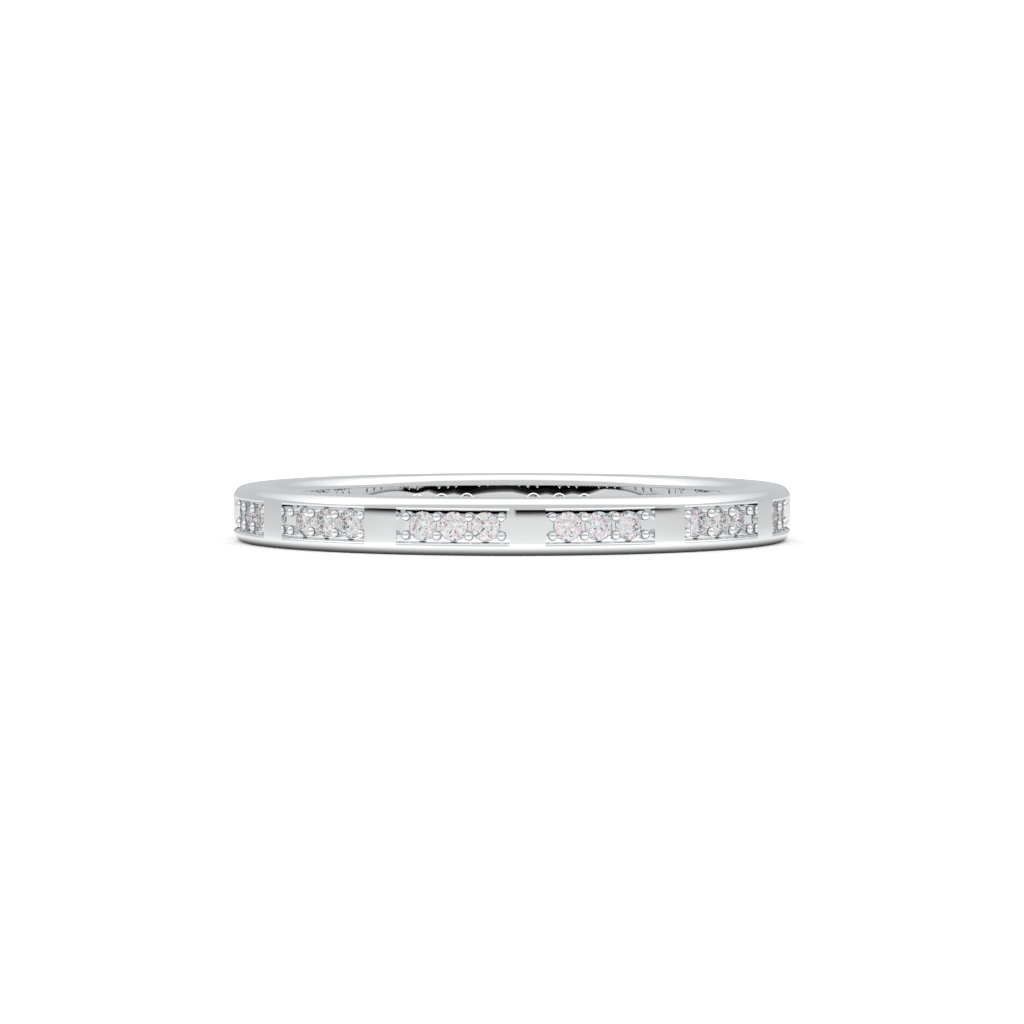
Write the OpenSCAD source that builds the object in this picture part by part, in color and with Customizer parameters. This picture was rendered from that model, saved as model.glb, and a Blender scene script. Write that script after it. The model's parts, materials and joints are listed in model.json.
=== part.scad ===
// Full eternity wedding band with round brilliant stones, in millimetres.
// The ring lies on its side: the finger's axis is +Z, and Z = 0 is the flat that it rests on.
// A plain bar of the band is centred on -Y, and the panels of stones are counted anticlockwise from there.

/* [Finger] */
// Inside diameter of the band
inner_diameter = 17.35; // [16.5:0.05:18.5]

/* [Band] */
// Thickness of the metal, from the finger to the outer face
wall_thickness = 1.5; // [1.4:0.05:1.7]
// Width of the band, along the finger
band_width = 2.02; // [2:0.01:2.4]
// Radius of the four rounded edges
edge_radius = 0.43; // [0.35:0.01:0.45]

/* [Panels] */
// Number of sunk panels round the band
panel_count = 12; // [10:1:12]
// Angle that a plain bar between two panels takes, in degrees
bar_angle = 7.13; // [6.5:0.01:7.5]
// Depth of a panel's floor below the outer face
panel_depth = 0.4; // [0.36:0.01:0.42]
// Width of a panel at the outer face, along the finger
panel_mouth = 1.31; // [1.25:0.01:1.35]
// Width of a panel at its floor, along the finger
panel_floor = 1.1; // [1.08:0.01:1.12]

/* [Stones] */
// Number of stones in each panel
stones_per_panel = 3; // [2:1:3]
// Diameter of a stone at its girdle
stone_diameter = 1; // [0.9:0.01:1]
// Angle from one stone to the next, in degrees
stone_pitch = 6.58; // [6.5:0.01:6.6]
// Depth of the girdle's upper edge below the outer face
girdle_depth = 0.39; // [0.35:0.01:0.4]
// Gap between a stone and the metal round it
seat_gap = 0.012; // [0.01:0.001:0.015]

/* [Beads] */
// Diameter of a bead
bead_diameter = 0.34; // [0.3:0.01:0.36]
// Distance of each row of beads from the middle of the band
bead_row = 0.326; // [0.3:0.001:0.35]
// Depth of a bead's top below the outer face
bead_sink = 0.065; // [0.04:0.005:0.1]

/* [Azure holes] */
// Diameter of the hole behind each stone
azure_diameter = 0.4; // [0.3:0.01:0.42]
// Width of the polished chamfer round the hole, on the finger side
azure_chamfer = 0.06; // [0.03:0.01:0.06]

/* [Hidden] */
inner_radius = inner_diameter / 2;
outer_radius = inner_radius + wall_thickness;
middle = band_width / 2;
panel_pitch = 360 / panel_count;
panel_angle = panel_pitch - bar_angle;
floor_radius = outer_radius - panel_depth;

// Proportions of a round brilliant, as parts of its diameter or as angles
table_ratio = 0.57;
crown_slope = 34.5;
pavilion_slope = 40.75;
girdle_ratio = 0.03;
star_length = 0.5;
lower_half = 0.77;

stone_radius = stone_diameter / 2;
table_radius = stone_radius * table_ratio;
girdle_height = stone_diameter * girdle_ratio;
crown_height = (stone_radius - table_radius) * tan(crown_slope);
pavilion_depth = stone_radius * tan(pavilion_slope);
girdle_radius = outer_radius - girdle_depth - girdle_height;

stone_count = panel_count * stones_per_panel;
edge_steps = 8;
overlap = 0.1;
// How far a bead's notch stands back from the seat's wall
notch_ledge = 0.008;
// How far the seat's point lies below the stone's point
culet_gap = 2.5 * seat_gap;
$fn = 96;

function stone_name(i) = str("stone_", i < 10 ? "0" : "", i);

function ring_point(radius, angle, height) = [radius * cos(angle), radius * sin(angle), height];

// Corner of the band's section: points on a quarter circle from one angle to a right angle further
function edge_arc(centre, start) =
    [for (i = [0:edge_steps])
        let (angle = start + 90 * i / edge_steps)
        centre + edge_radius * [cos(angle), sin(angle)]];

// Lays what is modelled at the origin, facing +Z, on the band: facing out, at an angle from -Y
module on_band(angle, radius = 0, height = middle) {
    rotate([0, 0, angle - 90])
        translate([radius, 0, height])
            rotate([0, 90, 0])
                children();
}

// The band's cross-section: a rounded rectangle between the finger and the outer face
module band_section() {
    inside = inner_radius + edge_radius;
    outside = outer_radius - edge_radius;
    low = edge_radius;
    high = band_width - edge_radius;
    polygon(concat(
        edge_arc([outside, low], -90),
        edge_arc([outside, high], 0),
        edge_arc([inside, high], 90),
        edge_arc([inside, low], 180)
    ));
}

// What a panel takes away: a channel round the band with sloping sides and radial ends
module panel_cut() {
    slope = (panel_mouth - panel_floor) / 2 / panel_depth;
    reach = panel_depth + overlap;
    top_half = panel_floor / 2 + slope * reach;
    rotate([0, 0, -90 - panel_angle / 2])
        rotate_extrude(angle = panel_angle)
            translate([floor_radius, middle])
                polygon([
                    [0, -panel_floor / 2],
                    [reach, -top_half],
                    [reach, top_half],
                    [0, panel_floor / 2]
                ]);
}

// A bead: a round post with a domed top, which starts in the metal under the panel's floor
module bead() {
    radius = bead_diameter / 2;
    post = panel_depth - bead_sink - radius + overlap;
    rotate_extrude()
        union() {
            square([radius, post]);
            intersection() {
                translate([0, post])
                    circle(radius);
                translate([0, post])
                    square(radius);
            }
        }
}

// The room that a stone takes below the panel's floor: its pavilion and girdle with a gap all round
module stone_seat() {
    radius = stone_radius + seat_gap;
    rotate_extrude()
        polygon([
            [0, -pavilion_depth - culet_gap],
            [radius, -seat_gap],
            [radius, panel_depth / 2],
            [0, panel_depth / 2]
        ]);
}

// What a stone takes out of the beads round it: a notch with a straight back, for the girdle, and a
// sloping roof over the crown, so that the beads reach a little over the stone
module bead_notches() {
    back = stone_radius + seat_gap + notch_ledge;
    shoulder = girdle_height + seat_gap;
    reach = stone_radius / 2;
    away = atan2(floor_radius * sin(stone_pitch / 2), bead_row);
    for (turn = [away, 180 - away, 180 + away, -away])
        rotate([0, 0, turn + 90])
            rotate([90, 0, 90])
                linear_extrude(height = bead_diameter, center = true)
                    polygon([
                        [-back, -girdle_height - panel_depth],
                        [-back, shoulder],
                        [reach - back, shoulder + reach * tan(crown_slope)],
                        [reach - back, -girdle_height - panel_depth]
                    ]);
}

// The hole behind a stone, from its seat through to the finger, with a chamfered mouth
module azure_hole() {
    radius = azure_diameter / 2;
    start = girdle_radius - inner_radius + overlap;
    end = pavilion_depth - radius * tan(pavilion_slope);
    mouth = azure_chamfer + overlap;
    translate([0, 0, -start])
        cylinder(r = radius, h = start - end + seat_gap);
    translate([0, 0, -start])
        cylinder(r1 = radius + mouth, r2 = radius, h = mouth);
}

// Angle of a stone in its panel, from the panel's middle
function stone_angle(k) = (k - (stones_per_panel - 1) / 2) * stone_pitch;

// Angle of a column of beads, from the panel's middle: one before each stone and one after the last
function bead_angle(k) = (k - stones_per_panel / 2) * stone_pitch;

// Angle of the middle of a panel, from -Y
function panel_middle(p) = (p + 0.5) * panel_pitch;

module beads() {
    difference() {
        for (p = [0:panel_count - 1], k = [0:stones_per_panel], side = [-1, 1])
            on_band(panel_middle(p) + bead_angle(k), floor_radius - overlap, middle + side * bead_row)
                bead();
        for (p = [0:panel_count - 1], k = [0:stones_per_panel - 1])
            on_band(panel_middle(p) + stone_angle(k), girdle_radius)
                bead_notches();
    }
}

// The ring with its panels, seats and holes, still without beads
module bare_band() {
    difference() {
        rotate_extrude()
            band_section();
        for (p = [0:panel_count - 1])
            rotate([0, 0, panel_middle(p)])
                panel_cut();
        for (p = [0:panel_count - 1], k = [0:stones_per_panel - 1])
            on_band(panel_middle(p) + stone_angle(k), girdle_radius) {
                stone_seat();
                azure_hole();
            }
    }
}

module band() {
    color("gainsboro")
        union() {
            bare_band();
            beads();
        }
}

// A round brilliant with its girdle's lower edge at Z = 0 and its table up: 8 table corners, 8 star points,
// 16 girdle corners above and 16 below, 8 points on the pavilion and the culet
module brilliant() {
    star_radius = table_radius * cos(22.5) + star_length * (stone_radius - table_radius * cos(22.5));
    star_height = girdle_height + (stone_radius - star_radius * cos(22.5)) * tan(crown_slope);
    half_radius = stone_radius * (1 - lower_half);
    half_height = -(stone_radius - half_radius * cos(22.5)) * tan(pavilion_slope);
    top = girdle_height + crown_height;

    table_points = [for (i = [0:7]) ring_point(table_radius, 45 * i, top)];
    star_points = [for (i = [0:7]) ring_point(star_radius, 45 * i + 22.5, star_height)];
    upper_points = [for (i = [0:15]) ring_point(stone_radius, 22.5 * i, girdle_height)];
    lower_points = [for (i = [0:15]) ring_point(stone_radius, 22.5 * i, 0)];
    half_points = [for (i = [0:7]) ring_point(half_radius, 45 * i + 22.5, half_height)];

    // First index of each ring of points
    star = 8;
    upper = 16;
    lower = 32;
    half = 48;
    culet = 56;

    table_face = [[for (i = [7:-1:0]) i]];
    star_faces = [for (i = [0:7]) [i, (i + 1) % 8, star + i]];
    kite_faces = [for (i = [0:7]) [i, star + i, upper + 2 * i, star + (i + 7) % 8]];
    upper_faces = [for (i = [0:7], side = [0, 1])
        [star + i, upper + (2 * i + side + 1) % 16, upper + 2 * i + side]];
    girdle_faces = [for (i = [0:15])
        [upper + i, upper + (i + 1) % 16, lower + (i + 1) % 16, lower + i]];
    lower_faces = [for (i = [0:7], side = [0, 1])
        [half + i, lower + 2 * i + side, lower + (2 * i + side + 1) % 16]];
    main_faces = [for (i = [0:7]) [culet, half + (i + 7) % 8, lower + 2 * i, half + i]];

    polyhedron(
        points = concat(table_points, star_points, upper_points, lower_points, half_points,
            [[0, 0, -pavilion_depth]]),
        faces = concat(table_face, star_faces, kite_faces, upper_faces, girdle_faces, lower_faces, main_faces)
    );
}

// Stone number i, counted from 1 round the band
module stone(i) {
    panel = floor((i - 1) / stones_per_panel);
    place = (i - 1) % stones_per_panel;
    color("lightcyan", 0.6)
        on_band(panel_middle(panel) + stone_angle(place), girdle_radius)
            brilliant();
}

band();
for (i = [1:stone_count])
    stone(i);
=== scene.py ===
"""A full eternity band of bead-set brilliants, dressed and lit for a studio picture."""

import json
import logging
import math
from dataclasses import dataclass
from enum import Enum, IntEnum
from typing import Any

import bmesh
import bpy
import numpy as np
from mathutils import Matrix, Vector


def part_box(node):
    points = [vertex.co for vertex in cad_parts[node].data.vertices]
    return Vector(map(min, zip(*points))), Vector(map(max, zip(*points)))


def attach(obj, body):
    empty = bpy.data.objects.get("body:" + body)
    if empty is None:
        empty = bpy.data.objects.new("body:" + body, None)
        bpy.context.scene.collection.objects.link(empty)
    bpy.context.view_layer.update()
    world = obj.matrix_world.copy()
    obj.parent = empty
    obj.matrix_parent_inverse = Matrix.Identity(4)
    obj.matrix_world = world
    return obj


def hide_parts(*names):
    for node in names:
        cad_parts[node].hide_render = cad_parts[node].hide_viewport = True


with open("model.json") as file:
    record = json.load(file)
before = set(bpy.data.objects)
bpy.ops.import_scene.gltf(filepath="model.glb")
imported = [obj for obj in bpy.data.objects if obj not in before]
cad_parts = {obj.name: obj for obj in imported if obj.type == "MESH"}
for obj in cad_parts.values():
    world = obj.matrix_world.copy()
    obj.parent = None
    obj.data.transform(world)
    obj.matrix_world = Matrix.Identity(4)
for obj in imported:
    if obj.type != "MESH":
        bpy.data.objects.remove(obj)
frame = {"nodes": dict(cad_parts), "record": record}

MM = 0.001
FULL_TURN = 2.0 * math.pi
#: Corners nearer to each other than this become one, and edges shorter than a sliver go, in metres
JOIN = 1e-8
SLIVER = 1e-9
UP = np.array([0.0, 0.0, 1.0])
#: Place and brightness of each stop of a light that changes along a distance or an angle
Stops = tuple[tuple[float, float], ...]
log = logging.getLogger("ring")


def linear(hex_colour: str) -> tuple[float, float, float, float]:
    """Turns an sRGB colour into the linear values that the shaders take.

    Args:
        hex_colour: Six hex digits, such as "F2F3F5".

    Returns:
        Red, green, blue and an alpha of one.
    """
    parts = [int(hex_colour[i : i + 2], 16) / 255.0 for i in (0, 2, 4)]
    straight = [c / 12.92 if c <= 0.04045 else ((c + 0.055) / 1.055) ** 2.4 for c in parts]
    return straight[0], straight[1], straight[2], 1.0


def add_node(
    tree: bpy.types.NodeTree, kind: str, inputs: dict[Any, Any] | None = None, **settings: Any
) -> bpy.types.Node:
    """Adds one node, with its settings, its values and its links.

    Args:
        tree: The node tree that takes the node.
        kind: Blender's name for the kind of node.
        inputs: Socket name or number to a constant, or to the value that is linked to it.
        settings: Properties of the node itself.

    Returns:
        The new node.
    """
    node = tree.nodes.new(kind)
    for key, value in settings.items():
        setattr(node, key, value)
    for key, value in (inputs or {}).items():
        if isinstance(value, Value):
            tree.links.new(value.socket, node.inputs[key])
        else:
            node.inputs[key].default_value = value
    return node


@dataclass(frozen=True)
class Value:
    """A value in a node tree. A sum written with it becomes nodes of that tree."""

    tree: bpy.types.NodeTree
    socket: bpy.types.NodeSocket

    @classmethod
    def of(
        cls,
        tree: bpy.types.NodeTree,
        kind: str,
        output: str | int,
        inputs: dict[Any, Any] | None = None,
        **settings: Any,
    ) -> "Value":
        """Adds a node, as add_node does, for the sake of one of its outputs."""
        return cls(tree, add_node(tree, kind, inputs, **settings).outputs[output])

    def math(self, operation: str, *others: "Value | float") -> "Value":
        """Adds a step of arithmetic, by Blender's name for it, that starts with this value."""
        values = dict(enumerate((self, *others)))
        return Value.of(self.tree, "ShaderNodeMath", 0, values, operation=operation)

    def __add__(self, other: "Value | float") -> "Value":
        """Adds another value."""
        return self.math("ADD", other)

    def __sub__(self, other: "Value | float") -> "Value":
        """Takes another value away."""
        return self.math("SUBTRACT", other)

    def __rsub__(self, other: float) -> "Value":
        """Takes this value away from a number."""
        return -self + other

    def __mul__(self, other: "Value | float") -> "Value":
        """Multiplies by another value."""
        return self.math("MULTIPLY", other)

    def __neg__(self) -> "Value":
        """Turns the sign round."""
        return self * -1.0

    def __abs__(self) -> "Value":
        """Leaves the sign out."""
        return self.math("ABSOLUTE")

    def length(self, other: "Value") -> "Value":
        """Works out the length of a vector of this value and another."""
        return (self * self + other * other).math("SQRT")

    def dot(self, along: Vector) -> "Value":
        """Works out how far this vector goes along a direction."""
        values = {0: self, 1: along}
        return Value.of(self.tree, "ShaderNodeVectorMath", "Value", values, operation="DOT_PRODUCT")

    def share(self, low: float, high: float, kind: str = "LINEAR") -> "Value":
        """Adds how far this value has come from low to high, from zero to one."""
        values = {"Value": self, "From Min": low, "From Max": high}
        return Value.of(self.tree, "ShaderNodeMapRange", "Result", values, interpolation_type=kind)

    def soft_step(self, low: float, high: float) -> "Value":
        """Adds how far this value has come from one bound to another, with a soft start and end."""
        return self.share(low, high, "SMOOTHSTEP")

    def ramp(self, stops: list[tuple[float, Any]], interpolation: str = "LINEAR") -> "Value":
        """Adds a ramp of colours.

        Args:
            stops: Place and colour of each stop.
            interpolation: Blender's name for the way from one colour to the next.

        Returns:
            The colour.
        """
        node = add_node(self.tree, "ShaderNodeValToRGB", {"Fac": self})
        node.color_ramp.interpolation = interpolation
        elements = node.color_ramp.elements
        while len(elements) < len(stops):
            elements.new(0.5)
        for element, (at, colour) in zip(elements, stops):
            element.position = at
            element.color = colour
        return Value(self.tree, node.outputs["Color"])

    def profile(self, stops: Stops, unit: float) -> "Value":
        """Adds a brightness that changes along this distance or angle.

        Args:
            stops: Place and brightness of each stop.
            unit: The unit of the places.

        Returns:
            The brightness.
        """
        near, far = stops[0][0], stops[-1][0]
        peak = max(value for _, value in stops)
        greys = [((at - near) / (far - near), [value / peak] * 3 + [1.0]) for at, value in stops]
        return self.share(near * unit, far * unit).ramp(greys) * peak


def new_material(name: str) -> tuple[bpy.types.Material, bpy.types.NodeTree]:
    """Makes a material with an empty tree.

    Args:
        name: The material's name.

    Returns:
        The material and its tree.
    """
    material = bpy.data.materials.new(name)
    material.use_nodes = True
    material.node_tree.nodes.clear()
    return material, material.node_tree


def object_from(bm: bmesh.types.BMesh, name: str) -> bpy.types.Object:
    """Closes a bmesh into an object at the origin.

    Args:
        bm: The finished bmesh, which is freed.
        name: The object's name.

    Returns:
        The object, linked to the scene.
    """
    mesh = bpy.data.meshes.new(name)
    bm.to_mesh(mesh)
    bm.free()
    made = bpy.data.objects.new(name, mesh)
    bpy.context.scene.collection.objects.link(made)
    return made


def turned(outline: list[tuple[float, float]], steps: int, angle: float = FULL_TURN) -> bmesh.types.BMesh:
    """Turns a closed outline round the Z axis, as on a lathe.

    Args:
        outline: Corners as distance from the axis and height.
        steps: Flats in the turn.
        angle: How far the outline is turned, in radians.

    Returns:
        A closed bmesh with its faces pointing outwards.
    """
    bm = bmesh.new()
    corners = [bm.verts.new((radius, 0.0, height)) for radius, height in outline]
    face = bm.faces.new(corners)
    whole = math.isclose(angle, FULL_TURN)
    if whole:
        bmesh.ops.delete(bm, geom=[face], context="FACES_ONLY")
    geom = bm.verts[:] + bm.edges[:] + bm.faces[:]
    bmesh.ops.spin(
        bm,
        geom=geom,
        cent=(0, 0, 0),
        axis=(0, 0, 1),
        angle=angle,
        steps=steps,
        use_merge=whole,
        use_duplicate=False,
    )
    bmesh.ops.remove_doubles(bm, verts=bm.verts[:], dist=JOIN)
    bmesh.ops.dissolve_degenerate(bm, edges=bm.edges[:], dist=SLIVER)
    bmesh.ops.recalc_face_normals(bm, faces=bm.faces[:])
    return bm


class Skin(IntEnum):
    """The kinds of surface on the cast band, kept on its faces so that each shades with its true normal."""

    BODY = 1
    PANEL = 2
    BEAD = 3
    # The low ring of each bead's dome, which the material paints with shade
    BEAD_SHADED_FOOT = 4
    NICK = 5
    SEAT = 6
    HOLE = 7


@dataclass(frozen=True)
class Corners:
    """The corners of a mesh's faces as arrays, which the true normals are worked out from."""

    points: np.ndarray
    #: Each corner's face: its flat normal, its centre and its kind of surface
    flat: np.ndarray
    centres: np.ndarray
    skins: np.ndarray
    #: Distance from the finger's axis, and the level direction away from it
    radii: np.ndarray
    out: np.ndarray
    #: The normals to shade with: the flat ones, until the true ones are set
    normals: np.ndarray

    @classmethod
    def of(cls, mesh: bpy.types.Mesh) -> "Corners":
        """Reads the corners of a mesh.

        Args:
            mesh: The mesh, with its skin attribute.

        Returns:
            Its corners, in the order of its loops.
        """
        sizes = cls.read(mesh.polygons, "loop_total", np.int32)
        vertex_of = cls.read(mesh.loops, "vertex_index", np.int32)
        points = cls.read(mesh.vertices, "co", np.float32, 3)[vertex_of]
        flat = np.repeat(cls.read(mesh.polygons, "normal", np.float32, 3), sizes, axis=0)
        centres = np.repeat(cls.read(mesh.polygons, "center", np.float32, 3), sizes, axis=0)
        skins = np.repeat(cls.read(mesh.attributes["skin"].data, "value", np.int32), sizes)
        radii = np.hypot(points[:, 0], points[:, 1])
        out = np.column_stack([points[:, 0] / radii, points[:, 1] / radii, np.zeros(len(points))])
        return cls(points, flat, centres, skins, radii, out, flat.copy())

    @staticmethod
    def read(items: Any, name: str, kind: type, width: int = 1) -> np.ndarray:
        """Reads one property of every item of a mesh.

        Args:
            items: The vertices, loops, faces or attribute values.
            name: The property's name.
            kind: How the mesh keeps a number.
            width: Numbers in each value.

        Returns:
            The values, with a row for each item where a value has several numbers.
        """
        values = np.empty(len(items) * width, kind)
        items.foreach_get(name, values)
        return values.reshape(-1, width).astype(float) if width > 1 else values

    @property
    def outward(self) -> np.ndarray:
        """How squarely each corner's face faces away from the finger."""
        return (self.flat * self.out).sum(1)


def gather(tool: bmesh.types.BMesh, places: list[Matrix], skin: Skin, name: str) -> bpy.types.Object:
    """Copies a tool to all its places and joins the copies in one object.

    Args:
        tool: The tool, made at the origin, which is freed.
        places: Where it is copied to.
        skin: The kind of surface that the tool leaves on the band, where its faces name no other.
        name: The object's name.

    Returns:
        One object that holds every copy.
    """
    joined = bmesh.new()
    layer = joined.faces.layers.int.new("skin")
    mesh = bpy.data.meshes.new(name)
    tool.to_mesh(mesh)
    tool.free()
    for place in places:
        before = len(joined.verts)
        joined.from_mesh(mesh)
        joined.verts.ensure_lookup_table()
        bmesh.ops.transform(joined, matrix=place, verts=joined.verts[before:])
    bpy.data.meshes.remove(mesh)
    for face in joined.faces:
        face[layer] = face[layer] or skin
    return object_from(joined, name)


@dataclass(frozen=True)
class WhiteGold:
    """14 karat white gold, cast, plated with rhodium and polished to a mirror.

    The plating makes it a neutral white that is a touch cool, and the polish leaves only a breath of haze.
    """

    colour: str = "F3F4F5"
    #: Painted shade, as darker colours: on the beads' feet and in the nicks at the walls, where shade falls
    foot_shade_colour: str = "9DA0A3"
    nick_shade_colour: str = "808488"
    roughness: float = 0.008
    #: Haze of the polish, in clouds, and the faint wipe of a soft wheel
    haze: float = 0.008
    haze_size_mm: float = 1.6
    haze_detail: float = 3.0
    haze_span: tuple[float, float] = (0.35, 0.75)
    wipe_size_mm: float = 0.12
    wipe_depth_mm: float = 0.00002
    wipe_detail: float = 2.0
    #: The polishing point leaves the wall a little proud above each azure hole, with a narrow raised lip
    swell_height_mm: float = 0.0028
    swell_reach_mm: float = 0.6
    swell_power: float = 1.5
    lip_height_mm: float = 0.045
    lip_start_mm: float = 0.295
    #: Height over which both fade in above the hole's middle, and how near to the wall still counts as on it
    fade_mm: float = 0.1
    near_wall_mm: float = 0.02

    def collars(self, place: Value, band: "Band") -> Value:
        """Adds the height of the wall round the azure holes.

        Args:
            place: The place on the band.
            band: The band, whose holes they are.

        Returns:
            The height in metres.
        """
        at = add_node(place.tree, "ShaderNodeSeparateXYZ", {"Vector": place})
        x, y, z = (Value(place.tree, at.outputs[axis]) for axis in "XYZ")
        in_panel = x.math("ARCTAN2", -y).math("WRAP", band.panel_pitch, 0.0)
        share = (in_panel - band.panel_pitch / 2.0).math("DIVIDE", band.stones.pitch)
        last = (band.stones.per_panel - 1) / 2.0
        nearest = share.math("ROUND").math("MAXIMUM", -last).math("MINIMUM", last)
        aside = (share - nearest) * (band.stones.pitch * band.inner_radius)
        above = z - band.middle
        distance = aside.length(above)
        reach = distance.math("DIVIDE", self.swell_reach_mm * MM)
        fall = (-reach.math("POWER", self.swell_power)).math("EXPONENT")
        swell = fall * (self.swell_height_mm * MM)
        lip = (self.lip_start_mm * MM - distance).math("MAXIMUM", 0.0)
        capped = lip.math("MINIMUM", self.lip_height_mm * MM)
        upper = above.soft_step(0.0, self.fade_mm * MM)
        inside = x.length(y).math("LESS_THAN", band.inner_radius + self.near_wall_mm * MM)
        return (swell + capped) * upper * inside

    @staticmethod
    def clouds(place: Value, size_mm: float, detail: float) -> Value:
        """Adds clouds of one size on the band, which break up as finely as the detail says."""
        values = {"Vector": place, "Scale": 1.0 / (size_mm * MM), "Detail": detail}
        return Value.of(place.tree, "ShaderNodeTexNoise", "Fac", values)

    def material(self, band: "Band") -> bpy.types.Material:
        """Makes the material: a mirror whose polish varies a little, with the faint wipe of a soft wheel,
        and painted shade on the beads' feet and in the nicks.

        Args:
            band: The band that it covers.

        Returns:
            The material.
        """
        material, tree = new_material("rhodium_plated_white_gold")
        place = Value.of(tree, "ShaderNodeTexCoord", "Object")
        haze = self.clouds(place, self.haze_size_mm, self.haze_detail).share(*self.haze_span)
        collars = {"Strength": 1.0, "Distance": 1.0, "Height": self.collars(place, band)}
        wipe = {
            "Strength": 1.0,
            "Distance": self.wipe_depth_mm * MM,
            "Height": self.clouds(place, self.wipe_size_mm, self.wipe_detail),
            "Normal": Value.of(tree, "ShaderNodeBump", "Normal", collars),
        }
        skin = Value.of(tree, "ShaderNodeAttribute", "Fac", attribute_name="skin")
        colour: Any = linear(self.colour)
        # Paints shade as darker colours on the beads' feet and in the nicks
        for part, painted_shade in ((Skin.BEAD_SHADED_FOOT, self.foot_shade_colour), (Skin.NICK, self.nick_shade_colour)):
            tones = {0: skin.math("COMPARE", float(part), 0.5), "A": colour, "B": linear(painted_shade)}
            colour = Value.of(tree, "ShaderNodeMix", "Result", tones, data_type="RGBA")
        polished = {
            "Base Color": colour,
            "Metallic": 1.0,
            "Roughness": haze * self.haze + self.roughness,
            "Normal": Value.of(tree, "ShaderNodeBump", "Normal", wipe),
        }
        shader = Value.of(tree, "ShaderNodeBsdfPrincipled", "BSDF", polished)
        add_node(tree, "ShaderNodeOutputMaterial", {"Surface": shader})
        return material


@dataclass(frozen=True)
class Diamond:
    """Colourless diamond, cut as a round brilliant and polished on a wheel.

    It is clear with hard bright and dark facets, and its strong dispersion shows as a faint fire of colours.
    The fire is drawn in flecks a twentieth of a millimetre wide, coarser than real ones, so that it shows.
    """

    ior: float = 2.417
    fire: tuple[str, ...] = ("FFFFFF", "FFBCD6", "FFFFFF", "C4DCFF", "FFFFFF", "CCFFE0", "FFFFFF", "FFD0C4")
    fire_size_mm: float = 0.05

    def material(self) -> bpy.types.Material:
        """Makes the material: clear and refracting, each facet tinged a little by its fire.

        Returns:
            The material.
        """
        material, tree = new_material("polished_diamond")
        place = Value.of(tree, "ShaderNodeTexCoord", "Object")
        grain = {"Vector": place, "Scale": 1.0 / (self.fire_size_mm * MM)}
        cells = Value.of(tree, "ShaderNodeTexVoronoi", "Color", grain)
        chance = Value.of(tree, "ShaderNodeSeparateColor", "Red", {"Color": cells})
        stops = [(i / len(self.fire), linear(colour)) for i, colour in enumerate(self.fire)]
        clear = {
            "Base Color": chance.ramp(stops, "CONSTANT"),
            "Roughness": 0.0,
            "IOR": self.ior,
            "Transmission Weight": 1.0,
        }
        shader = Value.of(tree, "ShaderNodeBsdfPrincipled", "BSDF", clear)
        add_node(tree, "ShaderNodeOutputMaterial", {"Surface": shader})
        return material


@dataclass(frozen=True)
class Stones:
    """The rows of round brilliants, which are the CAD's own nodes with a better material."""

    diameter: float = 1.0 * MM
    per_panel: int = 3
    pitch: float = math.radians(6.58)
    girdle_depth: float = 0.39 * MM
    girdle_height: float = 0.03 * MM
    pavilion_slope: float = math.radians(40.75)
    crown_slope: float = math.radians(34.5)
    table_share: float = 0.57

    @property
    def radius(self) -> float:
        """Radius of a stone's girdle."""
        return self.diameter / 2.0

    @property
    def pavilion_depth(self) -> float:
        """Depth of the culet below the girdle."""
        return self.radius * math.tan(self.pavilion_slope)

    @property
    def names(self) -> list[str]:
        """Names of the CAD nodes that hold the stones."""
        return sorted(name for name in frame["nodes"] if name.startswith("stone_"))

    def dress(self, finish: Diamond) -> None:
        """Gives every stone its material.

        Args:
            finish: The diamond.
        """
        material = finish.material()
        for name in self.names:
            for slot in frame["nodes"][name].material_slots:
                slot.material = material


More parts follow.
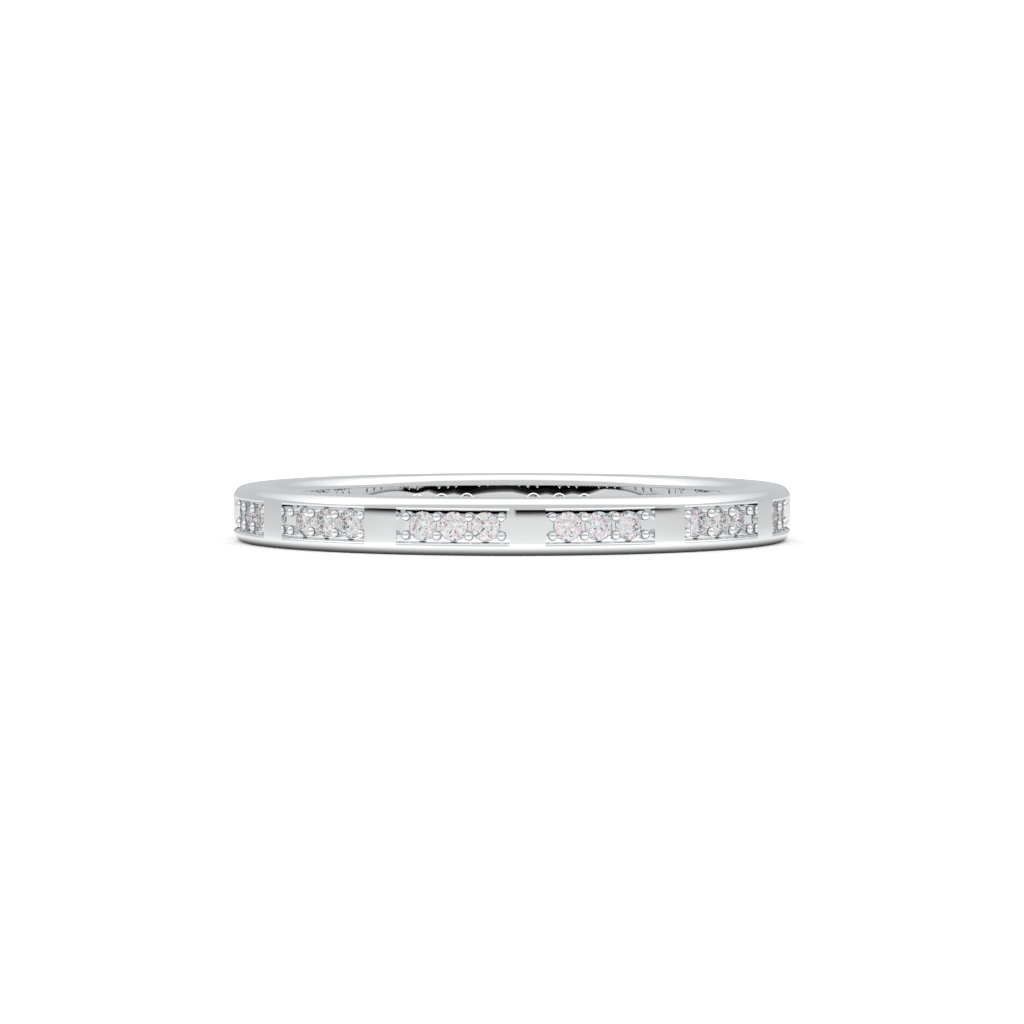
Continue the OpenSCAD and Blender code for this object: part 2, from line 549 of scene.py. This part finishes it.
@dataclass(frozen=True)
class Band:
    """The cast band: a turned ring with panels, beads, seats and azure holes, all one piece of metal."""

    stones: Stones
    outer_radius: float
    inner_radius: float
    width: float
    edge_radius: float = 0.43 * MM
    panels: int = 12
    bar_angle: float = math.radians(7.13)
    panel_depth: float = 0.4 * MM
    panel_floor: float = 1.1 * MM
    #: The walls stand almost upright, and their mouths are rounded over by the polish
    wall_lean: float = math.radians(5.0)
    lip_radius: float = 0.085 * MM
    lip_steps: int = 8
    #: The nicks at the foot of the walls, two for each stone, coloured dark as painted shade
    nick_length: float = 0.3 * MM
    nick_depth: float = 0.028 * MM
    nick_sides: int = 12
    bead_radius: float = 0.17 * MM
    bead_row: float = 0.326 * MM
    bead_sink: float = 0.065 * MM
    #: Up to where on its dome, as an angle up from the dome's rim, a bead is painted with a ring of shade
    bead_shade_reach: float = math.radians(18.0)
    bead_sides: int = 32
    dome_steps: int = 5
    seat_gap: float = 0.012 * MM
    culet_gap: float = 0.03 * MM
    seat_sides: int = 64
    azure_radius: float = 0.2 * MM
    azure_chamfer: float = 0.02 * MM
    azure_sides: int = 48
    #: The floor leans back a little along each side, where the graver ran
    relief_width: float = 0.11 * MM
    relief_lean: float = math.radians(1.5)
    overlap: float = 0.1 * MM
    turn_steps: int = 720
    edge_steps: int = 12
    #: How squarely a face of a panel's end faces along the band, a floor's face outwards, and how little
    #: a hole's side does
    end_facing: float = 0.5
    floor_facing: float = 0.9
    bore_facing: float = 0.2

    @classmethod
    def from_frame(cls, stones: Stones) -> "Band":
        """Takes the band's main sizes from the CAD's box and the part's own bore.

        Args:
            stones: The stones that the band holds.

        Returns:
            The band, not yet built.
        """
        low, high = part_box("band")
        bore = next(m for m in frame["record"]["mounts"] if m["name"] == "finger_bore")
        return cls(
            stones,
            outer_radius=min(high.x, high.y, -low.x, -low.y),
            inner_radius=bore["dims"]["r_mm"] * MM,
            width=high.z - low.z,
        )

    @property
    def middle(self) -> float:
        """Height of the middle of the band."""
        return self.width / 2.0

    @property
    def wall(self) -> float:
        """Thickness of the metal."""
        return self.outer_radius - self.inner_radius

    @property
    def panel_pitch(self) -> float:
        """Angle from one panel to the next."""
        return FULL_TURN / self.panels

    @property
    def floor_radius(self) -> float:
        """Radius of the panels' floor."""
        return self.outer_radius - self.panel_depth

    @property
    def girdle_radius(self) -> float:
        """Radius at which the lower edges of the stones' girdles lie."""
        return self.outer_radius - self.stones.girdle_depth - self.stones.girdle_height

    @property
    def dome_radius(self) -> float:
        """Radius at which the centres of the beads' domes lie."""
        return self.outer_radius - self.bead_sink - self.bead_radius

    def on_band(self, angle: float, radius: float, rise: float = 0.0) -> Matrix:
        """Where a tool made at the origin and facing +Z stands on the band.

        Args:
            angle: Angle from -Y, anticlockwise.
            radius: Distance from the finger's axis.
            rise: Height above the middle of the band.

        Returns:
            The place, facing outwards.
        """
        turn = Matrix.Rotation(angle - math.pi / 2.0, 4, "Z")
        out = Matrix.Translation((radius, 0.0, self.middle + rise))
        return turn @ out @ Matrix.Rotation(math.pi / 2.0, 4, "Y")

    def angles(self, count: int) -> list[float]:
        """Angles from -Y of a row of evenly spaced things, so many in each panel."""
        middles = [(p + 0.5) * self.panel_pitch for p in range(self.panels)]
        return [m + (k - (count - 1) / 2.0) * self.stones.pitch for m in middles for k in range(count)]

    @property
    def stone_places(self) -> list[Matrix]:
        """Where the stones sit, each with the lower edge of its girdle at the place."""
        return [self.on_band(angle, self.girdle_radius) for angle in self.angles(self.stones.per_panel)]

    def bar(self) -> bpy.types.Object:
        """Turns the plain ring: a rectangle with its corners rounded, spun round the finger's axis.

        Returns:
            The ring, which the other tools then cut.
        """
        bm = bmesh.new()
        bmesh.ops.create_grid(bm, x_segments=1, y_segments=1, size=0.5)
        bmesh.ops.scale(bm, vec=(self.wall, self.width, 1.0), verts=bm.verts)
        bmesh.ops.bevel(
            bm,
            geom=bm.verts[:],
            offset=self.edge_radius,
            offset_type="OFFSET",
            affect="VERTICES",
            segments=self.edge_steps,
            profile=0.5,
            material=-1,
        )
        centre = self.inner_radius + self.wall / 2.0
        face = bm.faces[:][0]
        outline = [(centre + v.co.x, self.middle + v.co.y) for v in face.verts]
        bm.free()
        ring = turned(outline, self.turn_steps)
        return gather(ring, [Matrix.Identity(4)], Skin.BODY, "band_dressed")

    @property
    def deep_radius(self) -> float:
        """Radius of the panels' floor at the walls, where it leans back."""
        return self.floor_radius - self.relief_width * math.tan(self.relief_lean)

    @property
    def lip_centre(self) -> tuple[float, float]:
        """Centre of the rounding between a panel's wall and the band's rounded edge.

        Returns:
            Its radius, and its rise above the middle of the band.
        """
        slope = math.tan(self.wall_lean)
        core_radius = self.outer_radius - self.edge_radius
        core_rise = self.width / 2.0 - self.edge_radius
        rise = self.panel_floor / 2.0 + (core_radius - self.deep_radius) * slope
        rise += self.lip_radius / math.cos(self.wall_lean) - core_rise
        square = 1.0 + slope * slope
        reach = self.edge_radius - self.lip_radius
        root = math.sqrt(rise * rise * slope * slope - square * (rise * rise - reach * reach))
        out = (root - rise * slope) / square
        return core_radius + out, core_rise + rise + out * slope

    def panel_tool(self) -> bpy.types.Object:
        """Makes what the panels take away: channels with rounded mouths and radial ends.

        Returns:
            One object with a channel for each panel.
        """
        foot = self.panel_floor / 2.0
        radius, rise = self.lip_centre
        first = self.wall_lean - math.pi / 2.0
        last = math.atan2(
            rise - (self.width / 2.0 - self.edge_radius), radius - (self.outer_radius - self.edge_radius)
        )
        arc = [first + (last - first) * i / self.lip_steps for i in range(self.lip_steps + 1)]
        side = [(self.floor_radius, foot - self.relief_width), (self.deep_radius, foot)]
        side += [
            (radius + self.lip_radius * math.cos(a), rise + self.lip_radius * math.sin(a)) for a in arc
        ]
        beyond = self.lip_radius + self.overlap
        side.append((radius + beyond * math.cos(last), rise + beyond * math.sin(last)))
        outline = [(r, -h) for r, h in side] + side[::-1]
        angle = self.panel_pitch - self.bar_angle
        steps = round(self.turn_steps * angle / FULL_TURN)
        tool = turned(outline, steps, angle)
        places = [
            Matrix.Translation((0.0, 0.0, self.middle))
            @ Matrix.Rotation((p + 0.5) * self.panel_pitch - math.pi / 2.0 - angle / 2.0, 4, "Z")
            for p in range(self.panels)
        ]
        return gather(tool, places, Skin.PANEL, "panel_tool")

    def nick_tool(self) -> bpy.types.Object:
        """Makes the cutter for the small nicks at the foot of the walls: slim grains, two for each stone.

        Returns:
            One object that holds them all.
        """
        bm = bmesh.new()
        sides = self.nick_sides
        bmesh.ops.create_uvsphere(bm, u_segments=sides, v_segments=sides // 2, radius=1.0)
        size = (self.nick_depth, self.nick_length / 2.0, self.nick_depth)
        bmesh.ops.scale(bm, vec=size, verts=bm.verts)
        places = [
            self.on_band(angle, self.floor_radius, side * self.panel_floor / 2.0)
            for angle in self.angles(self.stones.per_panel)
            for side in (-1, 1)
        ]
        return gather(bm, places, Skin.NICK, "nick_tool")

    def beads(self) -> bpy.types.Object:
        """Makes the beads: round posts with domed tops, which start under the panels' floor.

        Returns:
            One object that holds them all.
        """
        start = self.floor_radius - self.overlap
        post = self.dome_radius - start
        arc = [math.pi / 2.0 * i / self.dome_steps for i in range(self.dome_steps + 1)]
        outline = [(0.0, 0.0), (self.bead_radius, 0.0)]
        outline += [(self.bead_radius * math.cos(a), post + self.bead_radius * math.sin(a)) for a in arc]
        outline[-1] = (0.0, post + self.bead_radius)
        tool = turned(outline, self.bead_sides)
        layer = tool.faces.layers.int.new("skin")
        # The low ring of each dome is marked for the material to paint with shade
        limit = post + self.bead_radius * math.sin(self.bead_shade_reach)
        for face in tool.faces:
            if post < face.calc_center_median().z < limit:
                face[layer] = Skin.BEAD_SHADED_FOOT
        places = [
            self.on_band(angle, start, side * self.bead_row)
            for angle in self.angles(self.stones.per_panel + 1)
            for side in (-1, 1)
        ]
        return gather(tool, places, Skin.BEAD, "beads")

    def seat_tool(self) -> bpy.types.Object:
        """Makes what the setter cuts for the stones: each stone's own outline with a small gap.

        Returns:
            One object that holds every seat.
        """
        stones = self.stones
        radius = stones.radius + self.seat_gap
        shoulder = stones.girdle_height + self.seat_gap
        neck = stones.radius * stones.table_share
        up = shoulder + (radius - neck) * math.tan(stones.crown_slope)
        outline = [
            (0.0, -stones.pavilion_depth - self.culet_gap),
            (radius, -self.seat_gap),
            (radius, shoulder),
            (neck, up),
            (neck, up + self.panel_depth),
            (0.0, up + self.panel_depth),
        ]
        return gather(turned(outline, self.seat_sides), self.stone_places, Skin.SEAT, "seat_tool")

    def azure_tool(self) -> bpy.types.Object:
        """Makes the drill for the azure holes, from the seats to the finger, with a chamfered mouth.

        Returns:
            One object that holds every hole.
        """
        low = self.inner_radius - self.girdle_radius - self.overlap
        high = self.azure_radius * math.tan(self.stones.pavilion_slope) - self.stones.pavilion_depth
        mouth = self.azure_chamfer + self.overlap
        outline = [
            (0.0, low),
            (self.azure_radius + mouth, low),
            (self.azure_radius, low + mouth),
            (self.azure_radius, high + self.seat_gap),
            (0.0, high + self.seat_gap),
        ]
        return gather(turned(outline, self.azure_sides), self.stone_places, Skin.HOLE, "azure_tool")

    def true_normals(self, mesh: bpy.types.Mesh) -> None:
        """Sets each corner's normal to that of the surface its tool left, so that it mirrors truly.

        Args:
            mesh: The finished band, with its skin attribute.
        """
        corners = Corners.of(mesh)
        self.body_normals(corners)
        self.panel_normals(corners)
        self.bead_normals(corners)
        self.hole_normals(corners)
        normals = corners.normals / np.linalg.norm(corners.normals, axis=1)[:, None]
        mesh.polygons.foreach_set("use_smooth", np.ones(len(mesh.polygons), bool))
        mesh.normals_split_custom_set(normals.tolist())

    def body_normals(self, corners: Corners) -> None:
        """Sets the normals of the turned ring, which point away from the core of its section.

        Args:
            corners: The band's corners, whose normals are changed.
        """
        body = corners.skins == Skin.BODY
        across = corners.radii - (self.inner_radius + self.wall / 2.0)
        core = np.array([self.wall / 2.0 - self.edge_radius, self.width / 2.0 - self.edge_radius])
        section = np.column_stack([across, corners.points[:, 2] - self.middle])
        away = section - np.clip(section, -core, core)
        corners.normals[body] = (away[:, :1] * corners.out + away[:, 1:] * UP)[body]

    def panel_normals(self, corners: Corners) -> None:
        """Sets the normals in the panels: rounded mouths, leaning walls, and the floor with its relief.

        Args:
            corners: The band's corners, whose normals are changed.
        """
        out = corners.out
        rise = (corners.points[:, 2] - self.middle)[:, None]
        sign = np.sign(rise)
        along = np.abs((corners.flat * np.cross(UP, out)).sum(1))
        panel = (corners.skins == Skin.PANEL) & (along < self.end_facing)
        lip_radius, lip_rise = self.lip_centre
        start = lip_radius + self.lip_radius * math.sin(self.wall_lean)
        lip = panel & (np.hypot(corners.centres[:, 0], corners.centres[:, 1]) > start)
        round_off = (corners.radii - lip_radius)[:, None] * out + (rise - sign * lip_rise) * UP
        corners.normals[lip] = round_off[lip]
        floor = panel & ~lip & (corners.outward > self.floor_facing)
        corners.normals[floor] = out[floor]
        relief = floor & (np.abs(corners.flat @ UP) > math.sin(self.relief_lean / 2.0))
        leaning = math.cos(self.relief_lean) * out + math.sin(self.relief_lean) * sign * UP
        corners.normals[relief] = leaning[relief]
        wall = panel & ~lip & ~floor
        slanted = math.sin(self.wall_lean) * out - math.cos(self.wall_lean) * sign * UP
        corners.normals[wall] = slanted[wall]

    def bead_normals(self, corners: Corners) -> None:
        """Sets the normals of the beads, which point away from their posts' axes and their domes' centres.

        Args:
            corners: The band's corners, whose normals are changed.
        """
        bead = (corners.skins == Skin.BEAD) | (corners.skins == Skin.BEAD_SHADED_FOOT)
        angles = self.angles(self.stones.per_panel + 1)
        axis, foot = self.nearest_axis(corners.points, angles, self.bead_row)
        above = corners.points - foot
        along = np.minimum((above * axis).sum(1), self.dome_radius)
        corners.normals[bead] = (above - along[:, None] * axis)[bead]

    def hole_normals(self, corners: Corners) -> None:
        """Sets the normals of the azure holes, which point to their axes.

        Args:
            corners: The band's corners, whose normals are changed.
        """
        hole = (corners.skins == Skin.HOLE) & (np.abs(corners.outward) < self.bore_facing)
        axis, foot = self.nearest_axis(corners.points, self.angles(self.stones.per_panel), 0.0)
        above = corners.points - foot
        corners.normals[hole] = ((above * axis).sum(1)[:, None] * axis - above)[hole]

    def nearest_axis(
        self, points: np.ndarray, angles: list[float], row: float
    ) -> tuple[np.ndarray, np.ndarray]:
        """Finds the radial axis nearest to each point.

        Args:
            points: The points.
            angles: Angles of the axes from -Y.
            row: Height of the axes above and below the middle of the band.

        Returns:
            For each point, the axis's direction and the point where it leaves the finger's axis.
        """
        turn = np.arctan2(points[:, 0], -points[:, 1]) % FULL_TURN
        gaps = (turn[:, None] - np.array(angles) + math.pi) % FULL_TURN - math.pi
        best = np.array(angles)[np.abs(gaps).argmin(1)]
        axis = np.column_stack([np.sin(best), -np.cos(best), np.zeros(len(best))])
        side = np.sign(points[:, 2] - self.middle)
        foot = np.column_stack([np.zeros(len(best)), np.zeros(len(best)), self.middle + side * row])
        return axis, foot

    def build(self, finish: WhiteGold) -> bpy.types.Object:
        """Cuts and joins the whole band and polishes it.

        Args:
            finish: The white gold.

        Returns:
            The band, which stands for the CAD's band.
        """
        ring = self.bar()
        steps = [
            (self.panel_tool(), "DIFFERENCE"),
            (self.nick_tool(), "DIFFERENCE"),
            (self.beads(), "UNION"),
            (self.seat_tool(), "DIFFERENCE"),
            (self.azure_tool(), "DIFFERENCE"),
        ]
        for tool, operation in steps:
            cut = ring.modifiers.new(tool.name, "BOOLEAN")
            cut.operation = operation
            cut.solver = "MANIFOLD"
            cut.object = tool
        evaluated = ring.evaluated_get(bpy.context.evaluated_depsgraph_get())
        mesh = bpy.data.meshes.new_from_object(evaluated)
        ring.modifiers.clear()
        for tool, _ in steps:
            bpy.data.objects.remove(tool)
        ring.data = mesh
        mesh.name = ring.name
        self.true_normals(mesh)
        mesh.materials.clear()
        mesh.materials.append(finish.material(self))
        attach(ring, "root")
        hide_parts("band")
        return ring


@dataclass(frozen=True)
class Camera:
    """A long lens, almost level with the ring, as in the photograph."""

    lens_mm: float = 192.6
    sensor_mm: float = 36.0
    distance_share: float = 19.7
    azimuth: float = math.radians(-3.02)
    elevation: float = math.radians(2.95)
    rise: float = 0.009 * MM

    @property
    def front(self) -> Vector:
        """Level direction from the ring to the camera."""
        return Vector((math.sin(self.azimuth), -math.cos(self.azimuth), 0.0))

    @property
    def side(self) -> Vector:
        """Level direction to the left in the picture."""
        return self.front.cross(Vector(UP))

    def place(self, target: Vector, radius: float) -> None:
        """Makes the camera and aims it.

        Args:
            target: The point it looks at.
            radius: The ring's outer radius, which sets the distance.
        """
        data = bpy.data.cameras.new("camera")
        data.lens = self.lens_mm
        data.sensor_width = self.sensor_mm
        data.clip_start = radius
        data.clip_end = radius * 200.0
        camera = bpy.data.objects.new("camera", data)
        bpy.context.scene.collection.objects.link(camera)
        back = self.front * math.cos(self.elevation) + Vector(UP) * math.sin(self.elevation)
        camera.location = target + Vector(UP) * self.rise + back * (radius * self.distance_share)
        camera.rotation_mode = "QUATERNION"
        camera.rotation_quaternion = (-back).to_track_quat("-Z", "Y")
        bpy.context.scene.camera = camera


class Seen(Enum):
    """What a stage piece shows itself to: the camera, or only the mirror of the metal and stones."""

    EYE = "eye"
    MIRROR = "mirror"


@dataclass(frozen=True)
class Studio:
    """A pale table under a soft light tent.

    The table is laid twice. The eye sees a plain matt one with the ring's own shadow on it. The metal and
    the stones mirror a lit one, whose brightness changes round the ring as it does in a small tent.
    """

    camera: Camera
    circle_steps: int = 128
    table_radius: float = 400.0 * MM
    table_drop: float = 0.002 * MM
    #: The light on the table that the eye sees, and the white backdrop behind it
    table_light: float = 1.4
    backdrop: float = 1.05
    pool_radius: float = 41.0 * MM
    pool_drop: float = 0.004 * MM
    #: Brightness of the table inside the ring as the metal mirrors it, from the side that the far wall
    #: shades to the open side, in mm
    inner_pool: Stops = (
        (-6.0, 0.01), (-4.9, 0.06), (-4.0, 0.11), (-3.0, 0.27), (-2.1, 0.67), (-1.3, 0.97),
        (-0.4, 0.80), (0.5, 0.78),
    )
    #: How much further the far wall's shade reaches for each mm to the side
    shade_spread: float = 0.7
    #: How the light inside the ring runs out under its foot as painted shade, by distance from the centre in
    #: mm, and where the crevice under the foot is painted dark, except at the open side
    foot: Stops = (
        (8.5, 1.0), (8.8, 0.85), (8.95, 0.5), (9.05, 0.1), (9.7, 0.0),
    )
    crevice: tuple[float, float] = (8.6 * MM, 8.75 * MM)
    open_side: tuple[float, float] = (3.5 * MM, 1.5 * MM)
    #: Brightness of the table outside the ring as the metal mirrors it, by distance from the centre in mm,
    #: with the ring's contact shadow painted in up to 10.43 mm
    pool: Stops = (
        (9.7, 0.0), (9.8, 0.03), (9.95, 0.12), (10.09, 0.45), (10.26, 0.89), (10.43, 1.11),
        (13.5, 1.12), (17.0, 0.98), (20.0, 0.90), (24.0, 0.85), (34.0, 0.80), (41.0, 0.70),
    )
    #: How the lit table gives way to what lies past its edge, by distance from the centre in mm
    edge: Stops = (
        (34.5, 0.0), (35.5, 0.05), (36.5, 0.17), (37.5, 0.36), (38.5, 0.68), (39.5, 0.92),
        (40.6, 1.0),
    )
    #: How much duller the table is at the ring's sides than in front, and the angles from the front between
    #: which it turns duller and bright again
    side_share: float = 0.2
    side_turn: tuple[float, float] = (math.radians(25.0), math.radians(80.0))
    side_return: tuple[float, float] = (math.radians(155.0), math.radians(110.0))
    #: The tent's own soft grey, and the dark gap low down behind the camera
    grey: float = 0.63
    gap_half_angle: float = math.radians(62.0)
    gap_blend: float = 0.06
    gap_top: float = 0.05
    gap_top_blend: float = 0.012
    seam_angle: float = math.radians(0.5)
    seam_half_angle: float = math.radians(1.6)
    seam_blend: float = 0.4
    #: The light above: a white panel over the ring, brightest at the top, which goes on at the back as two
    #: wings that fade downwards, in degrees over the top from the level in front to the level behind
    over: Stops = (
        (51.0, 0.0), (54.0, 0.36), (65.0, 0.40), (69.0, 0.62), (113.0, 0.62), (117.0, 0.40),
        (123.0, 0.38), (155.0, 0.07), (158.0, 0.0),
    )
    panel_foot: float = 0.355
    panel_blend: float = 0.02
    front_tint: str = "FEFFFF"
    back_tint: str = "F8FCFF"
    tint_turn: tuple[float, float] = (120.0, 160.0)
    #: The opening between the wings at the back, and where the panel over the ring ends above it
    wing_gap: float = math.radians(20.0)
    wing_blend: float = 0.6
    panel_back: tuple[float, float] = (133.0, 117.0)
    #: How much more of the tent's light the stones get than the metal
    stone_share: float = 0.25
    bounces: int = 24
    mirror_bounces: int = 12

    def disc(self, name: str, radius: float, drop: float) -> bpy.types.Object:
        """Makes a flat disc just under the ring.

        Args:
            name: Its name.
            radius: Its radius.
            drop: How far it lies below the ring's foot.

        Returns:
            The disc.
        """
        bm = bmesh.new()
        bmesh.ops.create_circle(bm, cap_ends=True, segments=self.circle_steps, radius=radius)
        bmesh.ops.translate(bm, verts=bm.verts, vec=(0.0, 0.0, -drop))
        return object_from(bm, name)

    def table(self) -> None:
        """Lays the pale table that the eye sees, with the ring's own soft shadow on it."""
        table = self.disc("table", self.table_radius, self.table_drop)
        material, tree = new_material("pale_matt_table")
        matt = {"Base Color": linear("FFFFFF"), "Roughness": 1.0, "Specular IOR Level": 0.0}
        shader = Value.of(tree, "ShaderNodeBsdfPrincipled", "BSDF", matt)
        add_node(tree, "ShaderNodeOutputMaterial", {"Surface": shader})
        table.data.materials.append(material)
        self.show(table, Seen.EYE)

    def light_pool(self) -> None:
        """Lays the lit part of the table as the metal mirrors it: a glowing disc with light and shade
        painted on, dark with painted shadow at the ring's foot, bright just beyond and dim at its edge.
        """
        pool = self.disc("light_pool", self.pool_radius, self.pool_drop)
        material, tree = new_material("lit_table")
        place = Value.of(tree, "ShaderNodeTexCoord", "Object")
        distance = Value.of(tree, "ShaderNodeVectorMath", "Value", {0: place}, operation="LENGTH")
        ahead = place.dot(self.camera.front)
        aside = place.dot(self.camera.side)
        lit = ahead - abs(aside) * self.shade_spread
        from_front = abs(aside).math("ARCTAN2", ahead)
        dull_side = from_front.soft_step(*self.side_turn) * from_front.soft_step(*self.side_return)
        table = distance.profile(self.pool, MM) * (1.0 - dull_side * self.side_share)
        past = distance.profile(self.edge, MM)
        beyond = (1.0 - self.gap(ahead, aside)) * self.grey
        outside = table * (1.0 - past) + past * beyond
        # Painted shade in the crevice under the ring's foot, except at the open side
        dark = distance.soft_step(*self.crevice) * lit.soft_step(*self.open_side)
        inside = lit.profile(self.inner_pool, MM) * distance.profile(self.foot, MM) * (1.0 - dark)
        shader = Value.of(tree, "ShaderNodeEmission", "Emission", {"Strength": outside + inside})
        add_node(tree, "ShaderNodeOutputMaterial", {"Surface": shader})
        pool.data.materials.append(material)
        self.show(pool, Seen.MIRROR)

    @staticmethod
    def show(piece: bpy.types.Object, seen: Seen) -> None:
        """Limits what sees a stage piece.

        Args:
            piece: The stage piece.
            seen: Whether it is for the eye or for the mirror.
        """
        eye = seen is Seen.EYE
        piece.visible_camera = eye
        piece.visible_diffuse = eye
        piece.visible_shadow = eye
        piece.visible_glossy = not eye
        piece.visible_transmission = not eye

    def light_tent(self) -> None:
        """Makes the tent: white to the eye, and to the ring a white light above soft grey walls."""
        world = bpy.data.worlds.new("light_tent")
        bpy.context.scene.world = world
        world.use_nodes = True
        tree = world.node_tree
        tree.nodes.clear()
        place = Value.of(tree, "ShaderNodeTexCoord", "Generated")
        ahead = place.dot(self.camera.front)
        aside = place.dot(self.camera.side)
        up = place.dot(Vector(UP))

        over = up.math("ARCTAN2", ahead) * (180.0 / math.pi)
        foot = up.soft_step(self.panel_foot - self.panel_blend, self.panel_foot + self.panel_blend)
        from_back = abs(aside).math("ARCTAN2", -ahead)
        blend = self.wing_gap * self.wing_blend
        wings = from_back.soft_step(self.wing_gap - blend, self.wing_gap + blend)
        shown = wings.math("MAXIMUM", over.soft_step(*self.panel_back))
        lights = over.profile(self.over, 1.0) * foot * shown

        low = up.soft_step(self.gap_top + self.gap_top_blend, self.gap_top - self.gap_top_blend)
        mirrored = (lights + self.grey) * (1.0 - self.gap(ahead, aside) * low)
        path = add_node(tree, "ShaderNodeLightPath")
        rays = ("Is Camera Ray", "Is Diffuse Ray", "Is Transmission Ray")
        camera_ray, diffuse_ray, stone_ray = (Value(tree, path.outputs[name]) for name in rays)
        tints = {0: over.soft_step(*self.tint_turn)}
        tints |= {"A": linear(self.front_tint), "B": linear(self.back_tint)}
        tint = Value.of(tree, "ShaderNodeMix", "Result", tints, data_type="RGBA")
        strength = mirrored * (stone_ray * self.stone_share + 1.0)
        tent = Value.of(tree, "ShaderNodeBackground", 0, {"Color": tint, "Strength": strength})
        plain = diffuse_ray * (self.table_light - self.backdrop) + self.backdrop
        white = Value.of(tree, "ShaderNodeBackground", 0, {"Color": linear("FFFFFF"), "Strength": plain})
        direct = camera_ray.math("MAXIMUM", diffuse_ray)
        mix = Value.of(tree, "ShaderNodeMixShader", 0, {0: direct, 1: tent, 2: white})
        add_node(tree, "ShaderNodeOutputWorld", {"Surface": mix})

    def gap(self, ahead: Value, aside: Value) -> Value:
        """Adds where the tent is open towards the camera, with the thin bright seam in its middle.

        Args:
            ahead: How far the direction goes towards the camera.
            aside: How far it goes to the side.

        Returns:
            One inside the opening, zero outside.
        """
        turn = aside.math("ARCTAN2", ahead)
        half = self.gap_half_angle
        narrow = abs(turn).soft_step(half + self.gap_blend, half - self.gap_blend)
        blend = self.seam_half_angle * self.seam_blend
        from_seam = abs(turn - self.seam_angle)
        seam = from_seam.soft_step(self.seam_half_angle - blend, self.seam_half_angle + blend)
        return narrow * seam

    def light(self) -> None:
        """Sets the whole studio and how its light is counted."""
        self.table()
        self.light_pool()
        self.light_tent()
        scene = bpy.context.scene
        scene.view_settings.view_transform = "Standard"
        scene.cycles.max_bounces = self.bounces
        scene.cycles.glossy_bounces = self.mirror_bounces


def main() -> None:
    """Builds the ring and its studio in order."""
    logging.basicConfig(level=logging.INFO, format="%(message)s")
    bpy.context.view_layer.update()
    stones = Stones()
    band = Band.from_frame(stones)
    camera = Camera()
    camera.place(Vector((0.0, 0.0, band.middle)), band.outer_radius)
    ring = band.build(WhiteGold())
    log.info("%s: %d faces", ring.name, len(ring.data.polygons))
    stones.dress(Diamond())
    log.info("stones: %d dressed", len(stones.names))
    Studio(camera).light()
    log.info("studio: lit")


if __name__ == "__main__":
    main()
